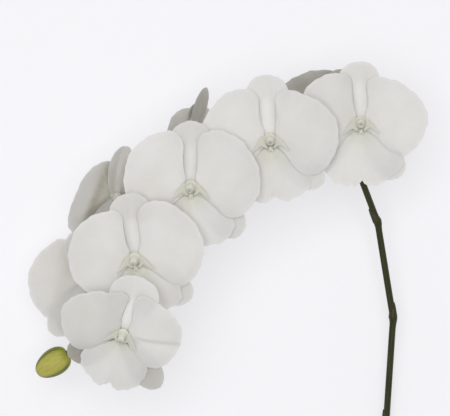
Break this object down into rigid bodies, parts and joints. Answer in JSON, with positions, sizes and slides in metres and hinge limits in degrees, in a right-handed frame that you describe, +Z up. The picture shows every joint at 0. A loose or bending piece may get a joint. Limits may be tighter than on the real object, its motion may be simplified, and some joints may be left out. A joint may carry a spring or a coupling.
{
  "type": "moth orchid stem",
  "caption": "Cut stem of a white moth orchid lying down: an arched green flower spike with two ranks of broad white blooms and a bud at its tip.",
  "frame": {"origin": "on the surface the stem lies on, under the middle of its bounding box", "axes": "+Z up from the surface, the way the front blooms face; +Y from the cut end of the stem towards the top of the arch; +X from the bud towards the cut stem"},
  "size_m": [0.2946, 0.3474, 0.1162],
  "materials": {
    "petal": "thin white petal, satin",
    "sepal": "thin white sepal, satin, faintly green at the root",
    "lip": "thin white lip with a pale yellow-green throat",
    "column": "waxy, greenish white",
    "stem": "fibrous green stem, dark, waxy",
    "bud": "closed bud, smooth, yellow-green"
  },
  "bodies": {
    "root": {"bloom_1_sepals": "sepal", "bloom_1_petal_left": "petal", "bloom_1_petal_right": "petal", "bloom_1_lip": "lip", "bloom_1_column": "column", "bloom_2_sepals": "sepal", "bloom_2_petal_left": "petal", "bloom_2_petal_right": "petal", "bloom_2_lip": "lip", "bloom_2_column": "column", "bloom_3_sepals": "sepal", "bloom_3_petal_left": "petal", "bloom_3_petal_right": "petal", "bloom_3_lip": "lip", "bloom_3_column": "column", "bloom_4_sepals": "sepal", "bloom_4_petal_left": "petal", "bloom_4_petal_right": "petal", "bloom_4_lip": "lip", "bloom_4_column": "column", "bloom_5_sepals": "sepal", "bloom_5_petal_left": "petal", "bloom_5_petal_right": "petal", "bloom_5_lip": "lip", "bloom_5_column": "column", "bloom_6_sepals": "sepal", "bloom_6_petal_left": "petal", "bloom_6_petal_right": "petal", "bloom_6_lip": "lip", "bloom_6_column": "column", "bloom_7_sepals": "sepal", "bloom_7_petal_left": "petal", "bloom_7_petal_right": "petal", "bloom_7_lip": "lip", "bloom_7_column": "column", "bloom_8_sepals": "sepal", "bloom_8_petal_left": "petal", "bloom_8_petal_right": "petal", "bloom_8_lip": "lip", "bloom_8_column": "column", "bloom_9_sepals": "sepal", "bloom_9_petal_left": "petal", "bloom_9_petal_right": "petal", "bloom_9_lip": "lip", "bloom_9_column": "column", "flower_spike": "stem", "bud": "bud"}
  },
  "joints": []
}
